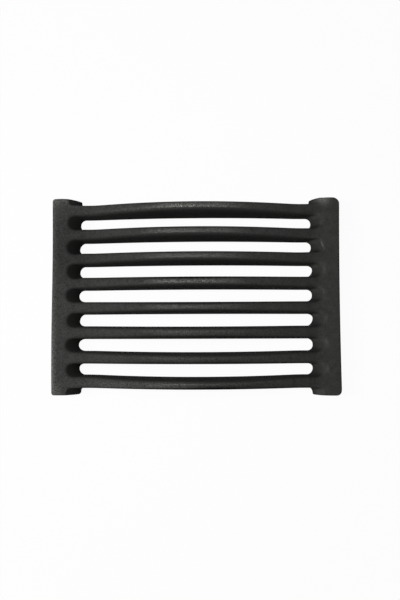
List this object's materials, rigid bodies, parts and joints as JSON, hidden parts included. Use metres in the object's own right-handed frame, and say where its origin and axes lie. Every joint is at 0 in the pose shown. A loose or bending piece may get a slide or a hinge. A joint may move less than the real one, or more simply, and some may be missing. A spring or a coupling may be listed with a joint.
{
  "type": "cast iron fire grate",
  "caption": "Rectangular cast iron fire grate: two end rails joined by parallel drafted bars whose backs arch like a fish belly, with round-ended slots between them.",
  "frame": {"origin": "middle of the flat side's plane, halfway between the rails and halfway along them", "axes": "+X along the bars, +Y along the rails, +Z from the flat side towards the bellied side"},
  "size_m": [0.295, 0.203, 0.0364],
  "materials": {
    "cast_iron": "sand cast, matt, dark grey"
  },
  "bodies": {
    "root": {"grate": "cast_iron"}
  },
  "joints": []
}
